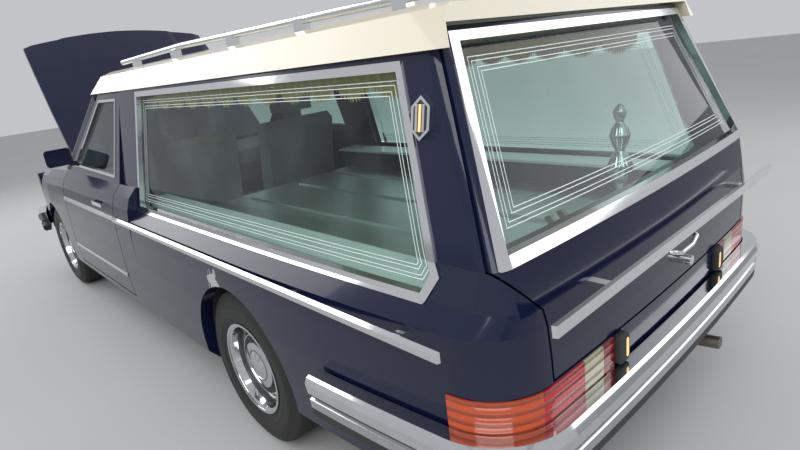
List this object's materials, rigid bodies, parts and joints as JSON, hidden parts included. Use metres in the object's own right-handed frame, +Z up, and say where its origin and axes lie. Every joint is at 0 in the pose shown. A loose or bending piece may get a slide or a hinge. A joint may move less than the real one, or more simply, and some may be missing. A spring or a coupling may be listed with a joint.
{
  "type": "hearse",
  "caption": "Hearse built on a large saloon, with a raised cream roof, long side windows, a glazed top-hinged tailgate, opening doors, raised bonnet and steered wheels.",
  "frame": {"origin": "on the floor, midway between the bumpers and between the two sides", "axes": "+X forward, +Y to the left, +Z up; the bonnet is raised as in the picture, everything else is shut"},
  "size_m": [5.0888, 1.912, 1.8804],
  "materials": {
    "navy_paint": "gloss",
    "cream_paint": "gloss",
    "chrome": "polished",
    "glass": "clear",
    "lens": "gloss",
    "lamp_glass": "clear",
    "black_plastic": "matte",
    "tyre": "matte",
    "wheel_chrome": "polished",
    "underbody": "matte",
    "cast": "rough",
    "alloy": "cast",
    "deck_sheet": "satin",
    "seat_fabric": "woven",
    "trim": "matte",
    "steel": "satin"
  },
  "bodies": {
    "body": {"battery": "black_plastic", "body_side_left": "navy_paint", "body_side_right": "navy_paint", "casket_stop": "steel", "coach_lamps": "chrome", "dashboard": "trim", "deck": "deck_sheet", "engine": "alloy", "exhaust": "steel", "firewall": "underbody", "floor_pan": "underbody", "front_bumper": "chrome", "front_seats": "seat_fabric", "front_suspension": "cast", "front_wings": "navy_paint", "fuel_tank": "underbody", "grille": "chrome", "headlamps": "lamp_glass", "inner_panels": "trim", "inner_wings": "underbody", "nose_panel": "navy_paint", "radiator": "black_plastic", "rear_axle": "cast", "rear_bumper": "chrome", "rear_panel": "navy_paint", "rear_wheelhouses": "underbody", "roof": "cream_paint", "roof_rails": "chrome", "screen_surround": "navy_paint", "side_glass": "glass", "side_rails": "chrome", "sills": "navy_paint", "tail_lamps": "lens", "window_frames": "chrome", "windscreen": "glass"},
    "door_left": {"door_glass_left": "glass", "door_left": "navy_paint", "door_trim_left": "chrome", "mirror_left": "navy_paint"},
    "door_right": {"door_glass_right": "glass", "door_right": "navy_paint", "door_trim_right": "chrome", "mirror_right": "navy_paint"},
    "bonnet": {"bonnet": "navy_paint"},
    "tailgate": {"tailgate": "navy_paint", "tailgate_frame": "chrome", "tailgate_glass": "glass", "tailgate_rail": "chrome"},
    "knuckle_left": {"knuckle_left": "cast"},
    "knuckle_right": {"knuckle_right": "cast"},
    "steering_wheel": {"steering_wheel": "black_plastic"},
    "wheel_front_left": {"wheel_front_left": "wheel_chrome", "tyre_front_left": "tyre"},
    "wheel_front_right": {"wheel_front_right": "wheel_chrome", "tyre_front_right": "tyre"},
    "wheel_rear_left": {"wheel_rear_left": "wheel_chrome", "tyre_rear_left": "tyre"},
    "wheel_rear_right": {"wheel_rear_right": "wheel_chrome", "tyre_rear_right": "tyre"}
  },
  "joints": [
    {"name": "door_left_hinge", "type": "hinge", "parent": "body", "child": "door_left", "pos_m": [1.1055, 0.891, 0.6], "axis": [0, 0, -1], "range_deg": [0, 65]},
    {"name": "door_right_hinge", "type": "hinge", "parent": "body", "child": "door_right", "pos_m": [1.1055, -0.891, 0.6], "axis": [0, 0, 1], "range_deg": [0, 65]},
    {"name": "tailgate_hinge", "type": "hinge", "parent": "body", "child": "tailgate", "pos_m": [-2.234, 0, 1.454], "axis": [0, 1, 0], "range_deg": [0, 82]},
    {"name": "bonnet_hinge", "type": "hinge", "parent": "body", "child": "bonnet", "pos_m": [1.1885, 0, 0.972], "axis": [0, -1, 0], "range_deg": [-52, 36]},
    {"name": "steer_left", "type": "hinge", "parent": "body", "child": "knuckle_left", "pos_m": [1.6855, 0.74, 0.318], "axis": [0, 0, 1], "range_deg": [-30, 30]},
    {"name": "steer_right", "type": "hinge", "parent": "body", "child": "knuckle_right", "pos_m": [1.6855, -0.74, 0.318], "axis": [0, 0, 1], "range_deg": [-30, 30]},
    {"name": "steering_wheel_turn", "type": "hinge", "parent": "body", "child": "steering_wheel", "pos_m": [0.6985, 0.36, 0.838], "axis": [-0.8776, 0, 0.4794], "range_deg": [-480, 480]},
    {"name": "wheel_front_left_spin", "type": "hinge", "parent": "knuckle_left", "child": "wheel_front_left", "pos_m": [1.6855, 0.768, 0.318], "axis": [0, 1, 0], "continuous": true},
    {"name": "wheel_front_right_spin", "type": "hinge", "parent": "knuckle_right", "child": "wheel_front_right", "pos_m": [1.6855, -0.768, 0.318], "axis": [0, 1, 0], "continuous": true},
    {"name": "wheel_rear_left_spin", "type": "hinge", "parent": "body", "child": "wheel_rear_left", "pos_m": [-1.2495, 0.768, 0.318], "axis": [0, 1, 0], "continuous": true},
    {"name": "wheel_rear_right_spin", "type": "hinge", "parent": "body", "child": "wheel_rear_right", "pos_m": [-1.2495, -0.768, 0.318], "axis": [0, 1, 0], "continuous": true}
  ],
  "couplings": [
    {"joint": "steer_right", "follows": "steer_left", "ratio": 1},
    {"joint": "steering_wheel_turn", "follows": "steer_left", "ratio": 16}
  ]
}
